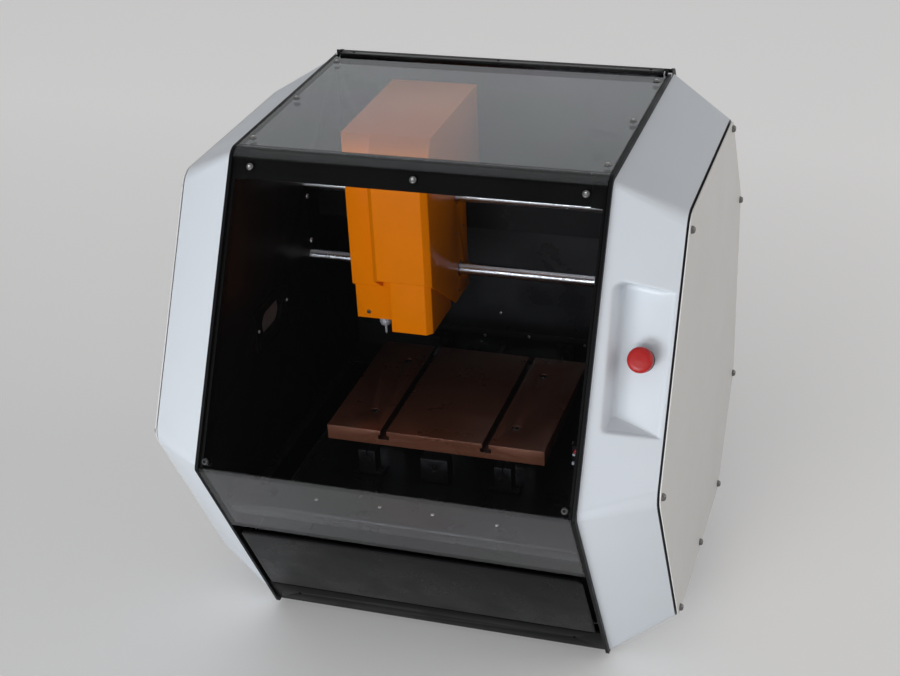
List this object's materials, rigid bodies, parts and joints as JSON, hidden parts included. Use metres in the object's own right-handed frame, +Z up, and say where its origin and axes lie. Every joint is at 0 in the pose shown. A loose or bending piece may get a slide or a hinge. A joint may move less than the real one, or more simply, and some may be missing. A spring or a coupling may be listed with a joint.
{
  "type": "benchtop cnc milling machine",
  "caption": "Enclosed benchtop milling machine with a hinged smoked hood, chip drawer, stop button, moving table and a spindle on crossed slides.",
  "frame": {"origin": "centre of the bounding box on the plane the feet stand on", "axes": "+X to the right seen from the front, +Y to the rear, +Z up"},
  "size_m": [0.6404, 0.6924, 0.669],
  "materials": {
    "shell_white": "fine matte texture",
    "black_steel": "satin black powder coat",
    "dark_steel": "satin grey powder coat",
    "orange_cover": "semi-gloss orange",
    "table_anodised": "orange anodised",
    "smoked_sheet": "clear grey smoked sheet",
    "ground_steel": "ground",
    "bare_aluminium": "satin",
    "black_plastic": "satin",
    "motor_black": "satin",
    "zinc_steel": "zinc plated",
    "rubber": "matte",
    "red_plastic": "semi-gloss red",
    "board_green": "satin"
  },
  "bodies": {
    "base": {"base_pan": "black_steel", "feet": "rubber", "left_side_plate": "black_steel", "right_side_plate": "black_steel", "rear_panel": "black_steel", "front_strip": "black_steel", "chamber_pan": "dark_steel", "rear_wall": "dark_steel", "hinge_bar": "black_steel", "hinge_pins": "zinc_steel", "left_shell": "shell_white", "right_shell": "shell_white", "left_side_cover": "shell_white", "right_side_cover": "shell_white", "cover_screws": "zinc_steel", "port_frame": "black_steel", "drawer_runners": "zinc_steel", "stop_base": "black_plastic", "x_rods": "ground_steel", "rod_flanges": "bare_aluminium", "x_motor": "motor_black", "screw_shroud": "black_steel", "y_rods": "ground_steel", "y_rod_blocks": "bare_aluminium", "y_motor": "motor_black", "limit_post": "bare_aluminium", "power_inlet": "black_plastic", "supply": "bare_aluminium", "control_board": "board_green"},
    "hood": {"hood_rails": "black_steel", "top_pane": "smoked_sheet", "front_pane": "smoked_sheet", "hood_band": "black_steel", "hood_screws": "zinc_steel"},
    "chip_drawer": {"tray": "dark_steel", "tray_front": "black_steel"},
    "y_table": {"table": "table_anodised", "saddle": "dark_steel", "y_bearings": "bare_aluminium"},
    "x_carriage": {"carriage": "dark_steel", "x_bearings": "bare_aluminium", "upper_cover": "orange_cover", "z_rails": "ground_steel", "z_motor": "motor_black"},
    "z_carriage": {"z_plate": "dark_steel", "lower_cover": "orange_cover", "spindle_block": "bare_aluminium", "spindle_motor": "motor_black", "drive_belt": "rubber"},
    "spindle": {"spindle": "ground_steel", "cutter": "ground_steel"},
    "motor_pulley": {"motor_pulley": "bare_aluminium"},
    "x_screw": {"x_screw": "ground_steel"},
    "y_screw": {"y_screw": "ground_steel"},
    "z_screw": {"z_screw": "ground_steel"},
    "stop_plunger": {"stop_plunger": "black_plastic"},
    "stop_cap": {"stop_cap": "red_plastic"},
    "power_switch": {"power_switch": "black_plastic"}
  },
  "joints": [
    {"name": "hood_hinge", "type": "hinge", "parent": "base", "child": "hood", "pos_m": [0, 0.197, 0.663], "axis": [-1, 0, 0], "range_deg": [0, 75]},
    {"name": "drawer_slide", "type": "slide", "parent": "base", "child": "chip_drawer", "axis": [0, -1, 0], "range_m": [0, 0.25]},
    {"name": "y_axis", "type": "slide", "parent": "base", "child": "y_table", "axis": [0, 1, 0], "range_m": [-0.055, 0.1]},
    {"name": "x_axis", "type": "slide", "parent": "base", "child": "x_carriage", "axis": [1, 0, 0], "range_m": [-0.075, 0.195]},
    {"name": "z_axis", "type": "slide", "parent": "x_carriage", "child": "z_carriage", "axis": [0, 0, 1], "range_m": [-0.07, 0.03]},
    {"name": "spindle_spin", "type": "hinge", "parent": "z_carriage", "child": "spindle", "pos_m": [-0.102, -0.019, 0.45], "axis": [0, 0, 1], "continuous": true},
    {"name": "motor_spin", "type": "hinge", "parent": "z_carriage", "child": "motor_pulley", "pos_m": [-0.046, -0.033, 0.51], "axis": [0, 0, 1], "continuous": true},
    {"name": "x_screw_turn", "type": "hinge", "parent": "base", "child": "x_screw", "pos_m": [0, 0.112, 0.506], "axis": [1, 0, 0], "continuous": true},
    {"name": "y_screw_turn", "type": "hinge", "parent": "base", "child": "y_screw", "pos_m": [0, 0, 0.2425], "axis": [0, 1, 0], "continuous": true},
    {"name": "z_screw_turn", "type": "hinge", "parent": "x_carriage", "child": "z_screw", "pos_m": [-0.0755, 0.0195, 0.5], "axis": [0, 0, 1], "continuous": true},
    {"name": "stop_press", "type": "slide", "parent": "base", "child": "stop_plunger", "axis": [0, 0.8682, -0.4961], "range_m": [0, 0.004], "stiffness_N_per_m": 400},
    {"name": "stop_twist", "type": "hinge", "parent": "stop_plunger", "child": "stop_cap", "pos_m": [0.2795, -0.20854, 0.468], "axis": [0, -0.8682, 0.4961], "range_deg": [-45, 0], "stiffness_Nm_per_rad": 0.03},
    {"name": "power_rocker", "type": "hinge", "parent": "base", "child": "power_switch", "pos_m": [-0.105, 0.337, 0.206], "axis": [1, 0, 0], "range_deg": [0, 16]}
  ],
  "couplings": [
    {"joint": "motor_spin", "follows": "spindle_spin", "ratio": 1},
    {"joint": "x_screw_turn", "follows": "x_axis", "rad_per_m": 628.32},
    {"joint": "y_screw_turn", "follows": "y_axis", "rad_per_m": 628.32},
    {"joint": "z_screw_turn", "follows": "z_axis", "rad_per_m": 785.4}
  ]
}
